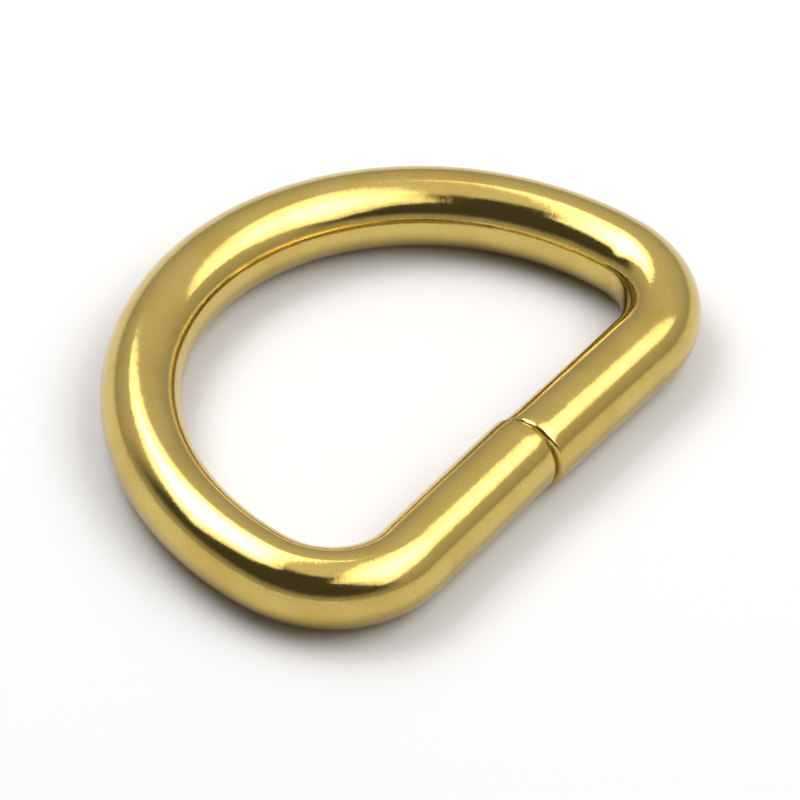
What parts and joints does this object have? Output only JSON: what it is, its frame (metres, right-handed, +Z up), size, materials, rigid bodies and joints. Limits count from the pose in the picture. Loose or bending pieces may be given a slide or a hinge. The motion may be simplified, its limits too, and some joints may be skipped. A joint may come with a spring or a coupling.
{
  "type": "d ring",
  "caption": "D ring bent from round brass wire: a straight strap bar closed by an open butt joint, and a half-round bow that takes a hook or a second strap.",
  "frame": {"origin": "on the surface that the ring lies on, under the middle of its outline", "axes": "+X along the straight bar, +Y from the bar to the crown of the bow, +Z up out of the flat ring"},
  "size_m": [0.042, 0.0298, 0.005],
  "materials": {
    "brass": "polished drawn wire with light handling marks"
  },
  "bodies": {
    "root": {"wire_ring": "brass"}
  },
  "joints": []
}
